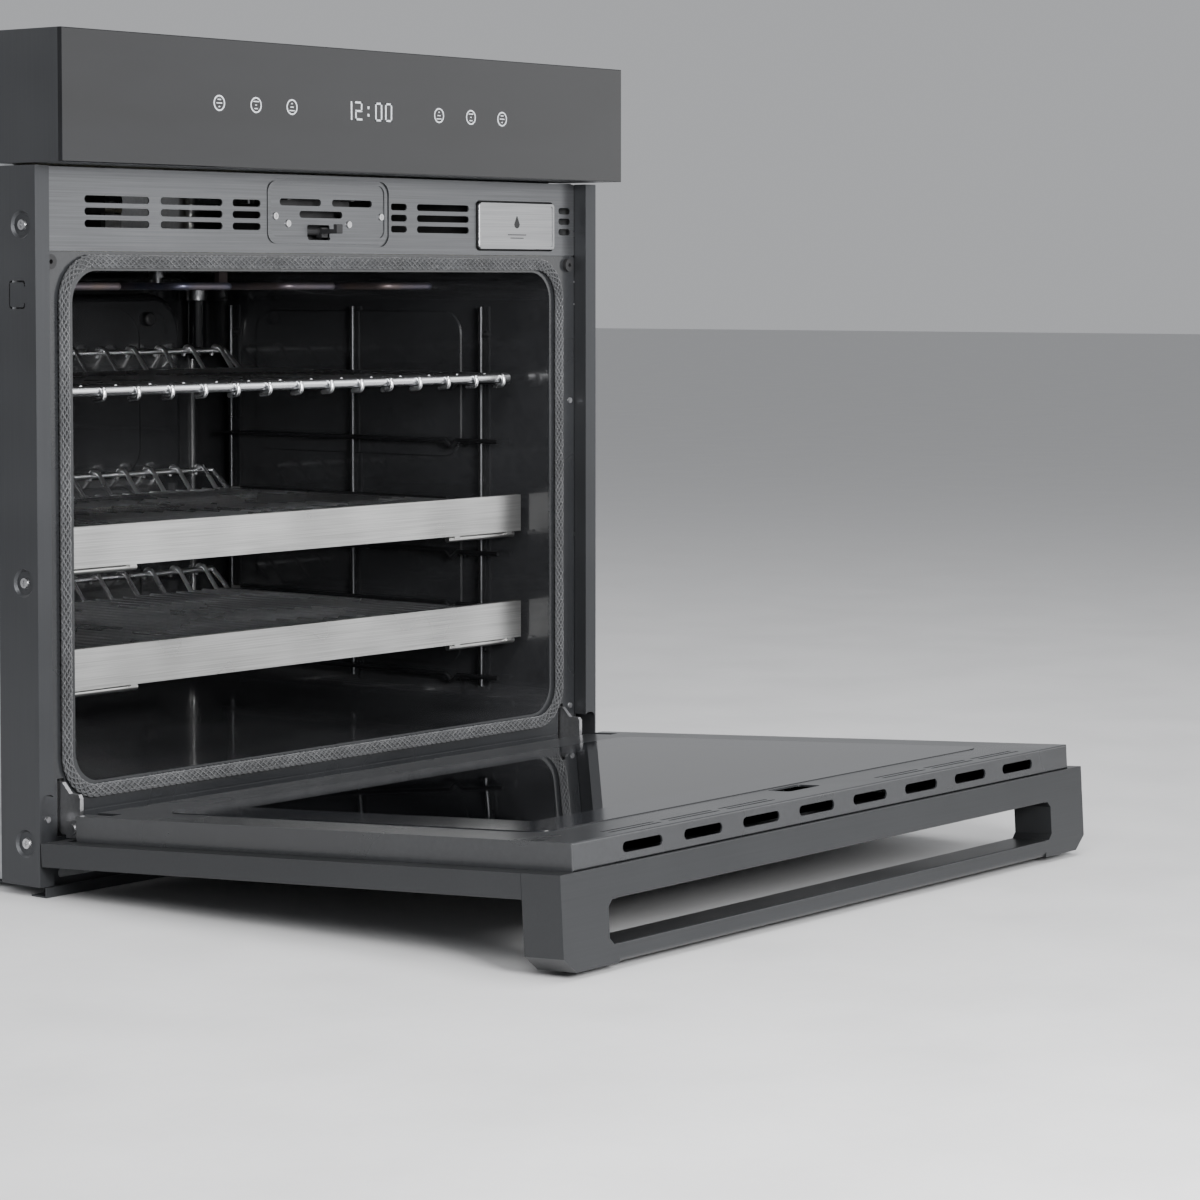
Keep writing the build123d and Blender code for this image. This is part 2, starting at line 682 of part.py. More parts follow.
def rails(level, x0, x1, z0, z1, y0, y1):
    """A pair of straight rail members, one each side, with rolled edges."""
    with BuildPart() as pair:
        for side in (-1, 1):
            xs = sorted((side * x0, side * x1))
            slab(xs[0], xs[1], y0, y1, level + z0, level + z1)
        fillet(pair.edges().filter_by(Axis.Y), 0.9)
    return pair.part


with BuildPart() as fixed_rails:
    for level in (mid_level, low_level):
        for side in (-1, 1):
            xs = sorted((side * 301.5, side * 308.5))
            slab(xs[0], xs[1], 76, 446, level - 22, level - 8)
            xs = sorted((side * 300.5, side * 306))
            slab(xs[0], xs[1], 75, 447, level - 19.5, level - 10.5, mode=Mode.SUBTRACT)
            for y in (92, 440):
                xs = sorted((side * 308.5, side * 309.6))
                slab(xs[0], xs[1], y - 6, y + 6, level - 20, level + 1)
save(fixed_rails.part, "fixed_rails")

for name, level in (("mid", mid_level), ("low", low_level)):
    save(rails(level, 297.0, 305.4, -18.9, -11.1, 78, 440), f"sliding_rails_{name}")

# ---- steam system ----
with BuildPart() as tank_housing:
    slab(tank_x - 60, tank_x + 60, 19, 350, 552.5, 603.5)
    slab(tank_x - 58, tank_x + 58, 18, 348, 554.5, 601.5, mode=Mode.SUBTRACT)
save(tank_housing.part, "tank_housing")

with BuildPart() as water_tank:
    slab(tank_x - 55, tank_x + 55, 16.5, 336, 557, 597)
    fillet(water_tank.edges().filter_by(Axis.Z), 6)
    slab(tank_x - 52.5, tank_x + 52.5, 19, 333.5, 559.5, 598, mode=Mode.SUBTRACT)
save(water_tank.part, "water_tank")

with BuildPart() as tank_cover:
    plate_xz(11.6, 16.5, tank_x, (tank_low + tank_high) / 2, tank_w, tank_high - tank_low, 4)
    plate_xz(11, 12.4, tank_x, (tank_low + tank_high) / 2, tank_w - 6, tank_high - tank_low - 6, 2.5,
             mode=Mode.SUBTRACT)
    chamfer(tank_cover.faces().sort_by(Axis.Y)[0].outer_wire().edges(), 0.6)
save(tank_cover.part, "tank_cover")

with BuildPart() as steam_boiler:
    slab(200, 300, 400, 520, 560, 640)
    fillet(steam_boiler.edges().filter_by(Axis.Z), 14)
    fillet(steam_boiler.edges().group_by(Axis.Z)[-1], 8)
    slab(192, 308, 450, 470, 552, 560)
    rod((steam_x, steam_y, 520), (steam_x, steam_y, 562), 5)
    rod((steam_x, steam_y, 528), (steam_x, steam_y, cavity_roof - 0.3), 9)
    rod((steam_x, steam_y, 515), (steam_x, steam_y, 560), 3, mode=Mode.SUBTRACT)
save(steam_boiler.part, "steam_boiler")

# ---- cooling blower ----
with BuildPart() as blower_housing:
    slab(-268, -16, 296, 404, 556, 650)
    slab(-265, -19, 299, 401, 640, 651, mode=Mode.SUBTRACT)
    rod((-264, blower_y, blower_z), (-20, blower_y, blower_z), 38, mode=Mode.SUBTRACT)
    slab(-262, -22, 250, blower_y, 560, 590, mode=Mode.SUBTRACT)
    slab(-262, -22, 340, 372, 630, 660, mode=Mode.SUBTRACT)
    rod((-270, blower_y, blower_z), (-10, blower_y, blower_z), 6, mode=Mode.SUBTRACT)
save(blower_housing.part, "blower_housing")

with BuildPart() as blower_wheel:
    rod((-272, blower_y, blower_z), (-10, blower_y, blower_z), 3)
    for x in (-260, -143, -26):
        rod((x, blower_y, blower_z), (x + 2, blower_y, blower_z), 31)
    with BuildSketch(Plane.YZ.offset(-260)):
        with Locations((blower_y, blower_z)):
            with PolarLocations(27, 24):
                Rectangle(7, 1.1, rotation=28)
    extrude(amount=236)
save(blower_wheel.part, "blower_wheel")

with BuildPart() as blower_motor:
    rod((-8, blower_y, blower_z), (34, blower_y, blower_z), 26)
    slab(-10, -8, 316, 384, 566, 634)
    rod((-16, blower_y, blower_z), (0, blower_y, blower_z), 7, mode=Mode.SUBTRACT)
    slab(-8, 30, 322, 378, 556, 590)
save(blower_motor.part, "blower_motor")

# ---- door, built on its own plane: x across, y up the door, z out through its face ----
handle_out = 34.2
bar_in = 68.2
window_w = 560.0
window_h = 330.0
window_mid = 265.0

with BuildPart(door) as door_outer_frame:
    slab(-door_half, door_half, slab_low, handle_low - 0.3, slab_in, slab_out)
    slab(-door_half + 2, door_half - 2, slab_low + 12, handle_low - 8, slab_in - 1, slab_out - 2,
         mode=Mode.SUBTRACT)
    with BuildSketch(door.offset(slab_out - 3)):
        with Locations((0, window_mid)):
            RectangleRounded(window_w, window_h, 10)
    extrude(amount=5, mode=Mode.SUBTRACT)
    for side in (-1, 1):
        xs = sorted((side * 360, side * 376))
        slab(xs[0], xs[1], slab_low + 12, handle_low - 8, slab_in, slab_in + 1.5)
save(door_outer_frame.part, "door_outer_frame")

with BuildPart(door) as door_outer_glass:
    slab(-296, 296, window_mid - 180, window_mid + 180, slab_out - 6, slab_out - 2.1)
    with BuildSketch(door.offset(slab_out - 2.1)):
        with Locations((0, window_mid)):
            RectangleRounded(window_w - 0.8, window_h - 0.8, 9.6)
    extrude(amount=1.7)
save(door_outer_glass.part, "door_outer_glass")

glass_low = 80.0
glass_top = 496.0
glass_half = 316.0
edge_slots = [(-273 + 78 * i, 0) for i in range(8)]
face_slots = [(side * (112 + 76 * i), h) for side in (-1, 1) for i in range(3) for h in (538, 546)]
with BuildPart(door) as door_liner:
    slab(-liner_half, liner_half, liner_low, liner_top, liner_face, slab_in)
    fillet(door_liner.faces().sort_by(Axis.Z)[-1].edges(), 1.6)
    slab(-liner_half + sheet, liner_half - sheet, liner_low + sheet, liner_top - sheet,
         liner_face + sheet, slab_in + 1, mode=Mode.SUBTRACT)
    with BuildSketch(door.offset(liner_face - 1)):
        with Locations((0, (glass_low + glass_top) / 2)):
            RectangleRounded(2 * glass_half - 24, glass_top - glass_low - 24, 14)
    extrude(amount=4, mode=Mode.SUBTRACT)
    with BuildSketch(door.offset(liner_face - 1)):
        with Locations((0, (glass_low + glass_top) / 2)):
            RectangleRounded(2 * glass_half + 1, glass_top - glass_low + 1, 20)
    extrude(amount=1.9, mode=Mode.SUBTRACT)
    with BuildSketch(door.offset(liner_face - 1)):
        with Locations(*face_slots):
            SlotOverall(66, 3.4)
        with Locations((-5, latch_z - hinge_z)):
            RectangleRounded(46, 24, 4)
    extrude(amount=4, mode=Mode.SUBTRACT)
    edge = Plane(origin=door.from_local_coords(Vector(0, liner_top + 1, -2.6)), x_dir=door.x_dir,
                 z_dir=-door.y_dir)
    with BuildSketch(edge):
        with Locations(*edge_slots):
            SlotOverall(50, 8.4)
    extrude(amount=4, mode=Mode.SUBTRACT)
    for side in (-1, 1):
        xs = sorted((side * (hinge_x - 6), side * (hinge_x + 6)))
        slab(xs[0], xs[1], liner_low - 1, 50, liner_face - 1, slab_in + 1, mode=Mode.SUBTRACT)
save(door_liner.part, "door_liner")

with BuildPart(door) as door_inner_glass:
    with BuildSketch(door.offset(liner_face + 0.9 - 1.6)):
        with Locations((0, (glass_low + glass_top) / 2)):
            RectangleRounded(2 * glass_half, glass_top - glass_low, 19.5)
    extrude(amount=1.6)
    with BuildSketch(door.offset(liner_face + 0.9)):
        with Locations((0, (glass_low + glass_top) / 2)):
            RectangleRounded(2 * glass_half - 25, glass_top - glass_low - 25, 13.5)
    extrude(amount=2.2)
save(door_inner_glass.part, "door_inner_glass")

with BuildPart(door) as door_middle_glass:
    slab(-320, 320, 60, 505, -3, 0.8)
    for side in (-1, 1):
        xs = sorted((side * 320, side * 330))
        slab(xs[0], xs[1], 60, 505, -7, 6)
save(door_middle_glass.part, "door_middle_glass")

seam = 311.0
with BuildPart(door) as handle_band:
    slab(-seam, seam, handle_low, handle_top, slab_in, handle_out)
    fillet(handle_band.edges().filter_by(Axis.X), 1.2)
    slab(-seam + 2, seam - 2, handle_low + 2, handle_top - 2, slab_in - 1, handle_out - 2,
         mode=Mode.SUBTRACT)
save(handle_band.part, "handle_band")

with BuildPart(door) as handle_bar:
    slab(-seam, seam, handle_low, handle_top, bar_in, handle_front)
    bar_edges = handle_bar.edges().filter_by(Axis.X)
    fillet(bar_edges.group_by(Axis.Z)[0] + bar_edges.group_by(Axis.Z)[1], 5.5)
    fillet(handle_bar.edges().filter_by(Axis.X).group_by(Axis.Z)[-1], 1.2)
save(handle_bar.part, "handle_bar")

with BuildPart(door) as handle_ends:
    with BuildSketch(Plane(origin=door.from_local_coords(Vector(0, handle_low, 0)), x_dir=door.x_dir,
                           z_dir=door.y_dir)):
        for side in (-1, 1):
            with BuildLine():
                Polyline(
                    (side * seam, -slab_in), (side * door_half, -slab_in),
                    (side * door_half, -handle_front + 12), (side * (door_half - 15), -handle_front),
                    (side * seam, -handle_front), (side * seam, -bar_in),
                    (side * 317, -bar_in), (side * 322, -bar_in + 5),
                    (side * 322, -handle_out - 5), (side * 317, -handle_out),
                    (side * seam, -handle_out), close=True,
                )
            make_face()
    extrude(amount=handle_top - handle_low)
save(handle_ends.part, "handle_ends")

# ---- hinges ----
ear_in = 3.4
ear_out = 5.4
pin_r = 3.0

with BuildPart(door) as hinge_channels:
    for x in (-hinge_x, hinge_x):
        for side in (-1, 1):
            xs = sorted((x + side * ear_in, x + side * ear_out))
            slab(xs[0], xs[1], -8, 190, -7.5, 7.5)
        slab(x - ear_in, x + ear_in, 176, 190, -7.5, 7.5)
        slab(x - 2.6, x + 2.6, 170, 195, -2.6, 2.6, mode=Mode.SUBTRACT)
        bore = Plane(origin=(x - 9, hinge_y, hinge_z), x_dir=(0, 1, 0), z_dir=(1, 0, 0))
        with BuildSketch(bore):
            Circle(pin_r + 0.02)
        extrude(amount=18, mode=Mode.SUBTRACT)
save(hinge_channels.part, "hinge_channels")

with BuildPart() as hinge_arms:
    for x in (-hinge_x, hinge_x):
        with BuildSketch(Plane.YZ.offset(x - 2)):
            with BuildLine():
                Polyline((hinge_y - 5, 50.5), (12, 50.5), (20, 60), (64, 60), (64, 90), (26, 90),
                         (19, 95), (11, 95), (2, 86), (-9, 86), (-11, 83), (-11, 72),
                         (hinge_y - 5, 62.5), close=True)
            make_face()
            with Locations((hinge_y, hinge_z)):
                Circle(6.6)
                Circle(pin_r + 0.04, mode=Mode.SUBTRACT)
        extrude(amount=4)
        rod((x - 6, hinge_y, hinge_z), (x + 6, hinge_y, hinge_z), pin_r)
        rod((x - 7, hinge_y, hinge_z), (x - ear_out - 0.1, hinge_y, hinge_z), 4.6)
        rod((x + ear_out + 0.1, hinge_y, hinge_z), (x + 7, hinge_y, hinge_z), 4.6)
save(hinge_arms.part, "hinge_arms")

with BuildPart() as hinge_receivers:
    for x in (-hinge_x, hinge_x):
        slab(x - 6, x + 6, 18.9, 80, 46, 104)
        slab(x - 2.3, x + 2.3, 16, 70, 47.5, 100, mode=Mode.SUBTRACT)
save(hinge_receivers.part, "hinge_receivers")

spring_low = 85.0
with BuildPart() as door_springs:
    for x in (-hinge_x, hinge_x):
        foot = door.from_local_coords(Vector(x, spring_low, 0))
        with BuildSketch(Plane(origin=foot, x_dir=door.x_dir, z_dir=door.y_dir)):
            Circle(2.9)
            Circle(2.2, mode=Mode.SUBTRACT)
        extrude(amount=80)
save(door_springs.part, "door_springs")

with BuildPart() as spring_rods:
    for x in (-hinge_x, hinge_x):
        foot = door.from_local_coords(Vector(x, 54, 0))
        axis = Plane(origin=foot, x_dir=door.x_dir, z_dir=door.y_dir)
        with BuildSketch(axis):
            Circle(1.9)
        extrude(amount=150)
        with BuildSketch(axis.offset(8)):
            Circle(2.8)
        extrude(amount=3)
save(spring_rods.part, "spring_rods")
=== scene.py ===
"""Finishes, woven gasket, springs and markings for a built-in wall oven, around its packed frame."""
import json
import math

import bmesh
import bpy
from mathutils import Matrix, Vector


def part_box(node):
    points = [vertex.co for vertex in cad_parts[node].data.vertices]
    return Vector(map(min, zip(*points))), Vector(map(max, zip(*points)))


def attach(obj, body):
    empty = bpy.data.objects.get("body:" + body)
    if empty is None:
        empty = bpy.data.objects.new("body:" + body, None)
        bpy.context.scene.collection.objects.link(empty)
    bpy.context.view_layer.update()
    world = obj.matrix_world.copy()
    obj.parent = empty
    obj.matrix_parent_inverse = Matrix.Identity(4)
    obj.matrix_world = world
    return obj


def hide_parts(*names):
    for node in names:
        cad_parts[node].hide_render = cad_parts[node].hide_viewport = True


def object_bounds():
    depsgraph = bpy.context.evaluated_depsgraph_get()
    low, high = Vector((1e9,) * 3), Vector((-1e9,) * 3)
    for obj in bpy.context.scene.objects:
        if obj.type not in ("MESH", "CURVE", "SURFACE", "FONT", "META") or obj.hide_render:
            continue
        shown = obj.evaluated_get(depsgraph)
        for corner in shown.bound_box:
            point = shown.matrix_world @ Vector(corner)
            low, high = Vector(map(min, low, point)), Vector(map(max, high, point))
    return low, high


bl_info = {
    "name": "Wall Oven",
    "version": (1, 0, 0),
    "blender": (4, 5, 0),
    "location": "View3D > Sidebar > Oven",
    "description": "Finishes and soft details for a built-in wall oven",
    "category": "Add Mesh",
}

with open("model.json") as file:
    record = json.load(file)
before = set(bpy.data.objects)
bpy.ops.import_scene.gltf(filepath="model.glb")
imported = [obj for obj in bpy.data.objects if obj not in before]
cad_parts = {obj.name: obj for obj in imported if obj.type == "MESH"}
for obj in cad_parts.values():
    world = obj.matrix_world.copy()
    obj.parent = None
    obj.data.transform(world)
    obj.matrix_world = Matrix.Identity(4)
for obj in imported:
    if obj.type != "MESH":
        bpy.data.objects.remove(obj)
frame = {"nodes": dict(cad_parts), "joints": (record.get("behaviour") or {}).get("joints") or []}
cad_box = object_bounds()
nodes = frame["nodes"]
MM = 0.001


def color_prop(name, about, rgb):
    """A colour setting for one finish."""
    return bpy.props.FloatVectorProperty(
        name=name, description=about, default=(*rgb, 1.0), size=4, subtype="COLOR", min=0, max=1
    )


def length_prop(name, about, metres):
    """A length setting in metres."""
    return bpy.props.FloatProperty(
        name=name, description=about, default=metres, min=0, precision=5, unit="LENGTH"
    )


# ---- settings ----
class OvenFinishes(bpy.types.PropertyGroup):
    """Colours of the oven's finishes."""
    graphite: color_prop("Graphite", "Satin coat of the door frame and handle", (0.036, 0.0375, 0.040))
    trim: color_prop("Side trim", "Satin coat of the cabinet flanges", (0.050, 0.052, 0.056))
    vent: color_prop("Vent panel", "Brushed strip over the door", (0.135, 0.138, 0.144))
    stainless: color_prop("Stainless", "Brushed trims of the pull-out racks", (0.62, 0.62, 0.61))
    tank_face: color_prop("Tank face", "Brushed front of the water tank", (0.33, 0.333, 0.34))
    chrome: color_prop("Chrome", "Plated rack wire", (0.80, 0.805, 0.82))
    ladder: color_prop("Ladder", "Dull plating of the side ladders", (0.055, 0.056, 0.059))
    enamel: color_prop("Enamel", "Vitreous enamel of the cavity", (0.019, 0.0195, 0.021))
    liner: color_prop("Door liner", "Satin enamel of the door's inner pan", (0.020, 0.021, 0.023))
    clear: color_prop("Clear glass", "Middle pane of the door", (0.80, 0.85, 0.84))
    glass: color_prop("Dark glass", "Polished panes", (0.004, 0.0042, 0.005))
    zinc: color_prop("Zinc", "Galvanised casing sheet", (0.40, 0.41, 0.42))
    steel: color_prop("Steel", "Screws, hinges and rails", (0.52, 0.52, 0.53))
    heater: color_prop("Heater", "Heat-darkened element tube", (0.10, 0.092, 0.088))
    sheet: color_prop("Dark sheet", "Blackened housings behind the vent slots", (0.022, 0.022, 0.023))
    braid: color_prop("Braid", "Woven glass yarn of the gasket", (0.046, 0.0475, 0.051))
    wool: color_prop("Wool", "Insulation blanket", (0.62, 0.58, 0.42))
    plastic: color_prop("Plastic", "Moulded black parts", (0.014, 0.014, 0.015))
    tank: color_prop("Tank", "Frosted water tank", (0.42, 0.47, 0.50))
    mark: color_prop("Mark", "Printed symbols", (0.55, 0.57, 0.60))


class OvenGasket(bpy.types.PropertyGroup):
    """Sizes of the braided door gasket."""
    yarn: length_prop("Yarn radius", "Radius of one yarn", 0.8 * MM)
    lay: length_prop("Lay", "Length of one full turn of a yarn", 42 * MM)
    step: length_prop("Step", "Distance between points along a yarn", 1.7 * MM)
    corner: length_prop("Corner", "Radius of the gasket's centre line at a corner", 34 * MM)
    pairs: bpy.props.IntProperty(name="Pairs", description="Yarns turning each way", default=6, min=2)


class OvenSprings(bpy.types.PropertyGroup):
    """Sizes of the door's counterbalance springs."""
    wire: length_prop("Wire radius", "Radius of the spring wire", 0.34 * MM)
    turns: bpy.props.IntProperty(name="Turns", description="Turns in one spring", default=52, min=4)
    sides: bpy.props.IntProperty(name="Steps", description="Points in one turn", default=14, min=6)


class OvenMarks(bpy.types.PropertyGroup):
    """Sizes of the printed symbols."""
    relief: length_prop("Relief", "How far a printed mark stands off its face", 0.12 * MM)
    stroke: length_prop("Stroke", "Width of a printed line", 1.3 * MM)
    digit: length_prop("Digit height", "Height of a clock digit", 17 * MM)
    ring: length_prop("Ring radius", "Radius of a touch key's ring", 7 * MM)
    pitch: length_prop("Key pitch", "Distance between touch keys", 46 * MM)
    drop: length_prop("Drop radius", "Radius of the water drop", 4.2 * MM)


class OvenStage(bpy.types.PropertyGroup):
    """Floor, lights and camera."""
    floor: color_prop("Floor", "Pale studio floor", (0.58, 0.58, 0.585))
    sky: color_prop("Surround", "Soft light from all round", (0.62, 0.63, 0.65))
    sky_strength: bpy.props.FloatProperty(name="Surround strength", description="Its brightness",
                                          default=0.72, min=0)
    lens: bpy.props.FloatProperty(name="Lens", description="Focal length in millimetres",
                                  default=104.7, min=20)
    turn: bpy.props.FloatProperty(name="Turn", description="Camera heading from straight ahead",
                                  default=math.radians(-51.6), unit="ROTATION")
    tilt: bpy.props.FloatProperty(name="Tilt", description="Camera tilt below level",
                                  default=math.radians(2.82), unit="ROTATION")
    shift: bpy.props.FloatProperty(name="Shift", description="Vertical lens shift", default=-0.12)
    eye: bpy.props.FloatVectorProperty(name="Eye", description="Place of the camera",
                                       default=(-2.383, -2.194, 0.521), size=3, unit="LENGTH")


# ---- material building ----
def object_coords(tree, scale, turn=(0, 0, 0)):
    """Object coordinates stretched along each axis."""
    coords = tree.nodes.new("ShaderNodeTexCoord")
    mapping = tree.nodes.new("ShaderNodeMapping")
    mapping.inputs["Scale"].default_value = scale
    mapping.inputs["Rotation"].default_value = turn
    tree.links.new(coords.outputs["Object"], mapping.inputs["Vector"])
    return mapping.outputs["Vector"]


def noise(tree, scale, detail=3.0, rough=0.55, turn=(0, 0, 0)):
    """A noise field; scale is a number or one number for each axis."""
    if isinstance(scale, (int, float)):
        scale = (scale,) * 3
    field = tree.nodes.new("ShaderNodeTexNoise")
    field.inputs["Scale"].default_value = 1.0
    field.inputs["Detail"].default_value = detail
    field.inputs["Roughness"].default_value = rough
    tree.links.new(object_coords(tree, scale, turn), field.inputs["Vector"])
    return field.outputs["Fac"]


def spangle(tree, scale):
    """Random grey of each crystal of a zinc coat."""
    cells = tree.nodes.new("ShaderNodeTexVoronoi")
    cells.inputs["Scale"].default_value = 1.0
    tree.links.new(object_coords(tree, (scale,) * 3), cells.inputs["Vector"])
    grey = tree.nodes.new("ShaderNodeSeparateColor")
    tree.links.new(cells.outputs["Color"], grey.inputs["Color"])
    return grey.outputs["Red"]


def between(tree, field, low, high, start=0.3, end=0.7):
    """A field spread over a range of values."""
    span = tree.nodes.new("ShaderNodeMapRange")
    for name, value in (("From Min", start), ("From Max", end), ("To Min", low), ("To Max", high)):
        span.inputs[name].default_value = value
    tree.links.new(field, span.inputs["Value"])
    return span.outputs["Result"]


def tones(tree, field, dark, light, start=0.3, end=0.7):
    """A colour that runs from dark to light with a field."""
    ramp = tree.nodes.new("ShaderNodeValToRGB")
    first, last = ramp.color_ramp.elements
    first.position, last.position = start, end
    first.color, last.color = dark, light
    tree.links.new(field, ramp.inputs["Fac"])
    return ramp.outputs["Color"]


def shade(color, factor):
    """A colour made darker or lighter."""
    return (*(min(1.0, channel * factor) for channel in color[:3]), 1.0)


def relief(tree, field, depth):
    """Bump of the given depth in metres."""
    bump = tree.nodes.new("ShaderNodeBump")
    bump.inputs["Strength"].default_value = 1.0
    bump.inputs["Distance"].default_value = depth
    tree.links.new(field, bump.inputs["Height"])
    return bump.outputs["Normal"]


def material(name, metallic, **sockets):
    """A new material; returns it, its node tree and its surface shader."""
    made = bpy.data.materials.new(name)
    made.use_nodes = True
    surface = made.node_tree.nodes["Principled BSDF"]
    surface.inputs["Metallic"].default_value = metallic
    for socket, value in sockets.items():
        surface.inputs[socket.replace("_", " ")].default_value = value
    return made, made.node_tree, surface


def coated(name, color, metallic, rough, grain, depth, spread=0.12, **sockets):
    """Metal or enamel with fine grain, gentle cloudiness and an uneven polish."""
    made, tree, surface = material(name, metallic, **sockets)
    fine = noise(tree, grain, 4.0)
    cloud = noise(tree, 7.0, 2.0)
    mixed = tree.nodes.new("ShaderNodeMath")
    mixed.operation = "MULTIPLY_ADD"
    mixed.inputs[1].default_value = 0.7
    tree.links.new(fine, mixed.inputs[0])
    tree.links.new(between(tree, cloud, 0.0, 0.3), mixed.inputs[2])
    field = mixed.outputs["Value"]
    tree.links.new(tones(tree, field, shade(color, 1 - spread), shade(color, 1 + spread)),
                   surface.inputs["Base Color"])
    tree.links.new(between(tree, cloud, rough * 0.85, rough * 1.2), surface.inputs["Roughness"])
    tree.links.new(relief(tree, fine, depth), surface.inputs["Normal"])
    return made


LEVEL_BRUSH = (9, 700, 900)
UPRIGHT_BRUSH = (900, 700, 9)
DOOR_BRUSH = (9, 900, 700)


def graphite(color):
    """Satin graphite coat over level-brushed steel."""
    return coated("graphite_coat", color, 0.75, 0.36, DOOR_BRUSH, 0.03 * MM, 0.1,
                  Coat_Weight=0.25, Coat_Roughness=0.3)


def trim_coat(color):
    """The same satin coat on upright folded sheet."""
    return coated("trim_coat", color, 0.7, 0.4, UPRIGHT_BRUSH, 0.02 * MM, 0.08,
                  Coat_Weight=0.2, Coat_Roughness=0.35)


def vent_brush(color):
    """Level-brushed steel under a thin grey tint."""
    return coated("vent_brushed", color, 0.85, 0.34, LEVEL_BRUSH, 0.02 * MM, 0.2)


def stainless_brush(color):
    """Bright stainless steel with a strong level brush."""
    return coated("stainless_brushed", color, 1.0, 0.3, LEVEL_BRUSH, 0.05 * MM, 0.28)


def tank_brush(color):
    """Grey stainless face of the water tank."""
    return coated("tank_face_brushed", color, 1.0, 0.32, LEVEL_BRUSH, 0.03 * MM, 0.18)


def chrome_plate(color):
    """Bright plating with slight ripples left by drawing the wire."""
    return coated("chrome_plate", color, 1.0, 0.27, 160.0, 0.05 * MM, 0.08)


def dull_plate(color):
    """Dull dark plating of the ladders."""
    return coated("dull_plate", color, 0.9, 0.3, 160.0, 0.05 * MM, 0.1)


def enamel_gloss(color):
    """Glossy vitreous enamel with orange peel."""
    return coated("enamel_gloss", color, 0.0, 0.22, 150.0, 0.06 * MM, 0.25,
                  Coat_Weight=0.6, Coat_Roughness=0.06)


def enamel_satin(color):
    """Satin enamel of the door's inner pan."""
    return coated("enamel_satin", color, 0.0, 0.27, 260.0, 0.04 * MM, 0.2,
                  Coat_Weight=0.3, Coat_Roughness=0.15)


def steel_plain(color):
    """Bright rolled and pressed steel."""
    return coated("steel_plain", color, 1.0, 0.3, 320.0, 0.03 * MM, 0.15)


def dark_sheet(color):
    """Blackened folded sheet of the inner housings."""
    return coated("dark_sheet", color, 0.3, 0.55, 240.0, 0.04 * MM, 0.2)


def plastic_matte(color):
    """Fine-grained moulded plastic."""
    return coated("plastic_matte", color, 0.0, 0.5, 900.0, 0.05 * MM, 0.2)


def zinc_sheet(color):
    """Galvanised sheet with crystal spangle."""
    made, tree, surface = material("zinc_sheet", 0.85)
    crystals = spangle(tree, 150.0)
    cloud = noise(tree, 6.0, 3.0)
    tree.links.new(tones(tree, crystals, shade(color, 0.86), shade(color, 1.12), 0.0, 1.0),
                   surface.inputs["Base Color"])
    tree.links.new(between(tree, crystals, 0.34, 0.5, 0.0, 1.0), surface.inputs["Roughness"])
    tree.links.new(relief(tree, cloud, 0.2 * MM), surface.inputs["Normal"])
    return made


def dark_glass(color):
    """Polished black pane with faint wiping marks in its gloss."""
    made, tree, surface = material("dark_glass", 0.0, Specular_IOR_Level=0.42)
    smear = noise(tree, (5, 22, 22), 3.0, turn=(0, 0, 0.5))
    tree.links.new(tones(tree, smear, color, shade(color, 1.5)), surface.inputs["Base Color"])
    tree.links.new(between(tree, smear, 0.03, 0.09), surface.inputs["Roughness"])
    return made


def bordered_glass(color, pane, rim):
    """Dark pane whose printed border is duller than its clear middle."""
    made, tree, surface = material("door_glass_bordered", 0.0, Specular_IOR_Level=0.5)
    low, high = pane
    coords = tree.nodes.new("ShaderNodeTexCoord")
    split = tree.nodes.new("ShaderNodeSeparateXYZ")
    tree.links.new(coords.outputs["Object"], split.inputs["Vector"])
    gaps = []
    for axis, near, far in (("X", low.x, high.x), ("Y", low.y, high.y)):
        offset = tree.nodes.new("ShaderNodeMath")
        offset.operation = "SUBTRACT"
        offset.inputs[1].default_value = (near + far) / 2
        tree.links.new(split.outputs[axis], offset.inputs[0])
        size = tree.nodes.new("ShaderNodeMath")
        size.operation = "ABSOLUTE"
        tree.links.new(offset.outputs["Value"], size.inputs[0])
        gap = tree.nodes.new("ShaderNodeMath")
        gap.operation = "SUBTRACT"
        gap.inputs[1].default_value = (far - near) / 2 - rim
        tree.links.new(size.outputs["Value"], gap.inputs[0])
        gaps.append(gap.outputs["Value"])
    edge = tree.nodes.new("ShaderNodeMath")
    edge.operation = "MAXIMUM"
    tree.links.new(gaps[0], edge.inputs[0])
    tree.links.new(gaps[1], edge.inputs[1])
    border = between(tree, edge.outputs["Value"], 0.0, 1.0, -0.5 * MM, 0.5 * MM)
    tree.links.new(tones(tree, border, shade(color, 0.5), shade(color, 2.6), 0.0, 1.0),
                   surface.inputs["Base Color"])
    tree.links.new(between(tree, border, 0.025, 0.11, 0.0, 1.0), surface.inputs["Roughness"])
    return made


def clear_glass(color):
    """Clear inner pane."""
    made, tree, surface = material("clear_glass", 0.0, Transmission_Weight=0.9, IOR=1.5)
    smear = noise(tree, 12.0)
    tree.links.new(tones(tree, smear, shade(color, 0.9), color), surface.inputs["Base Color"])
    tree.links.new(between(tree, smear, 0.02, 0.08), surface.inputs["Roughness"])
    return made


def heater_tube(color):
    """Element tube with brown and blue heat bands."""
    made, tree, surface = material("heater_tube", 0.8)
    heat = noise(tree, 14.0, 3.0)
    warm = (color[0] * 1.5, color[1] * 1.2, color[2], 1.0)
    cool = (color[0] * 0.6, color[1] * 0.7, color[2] * 1.1, 1.0)
    tree.links.new(tones(tree, heat, cool, warm), surface.inputs["Base Color"])
    tree.links.new(between(tree, heat, 0.35, 0.55), surface.inputs["Roughness"])
    tree.links.new(relief(tree, noise(tree, 500.0), 0.04 * MM), surface.inputs["Normal"])
    return made


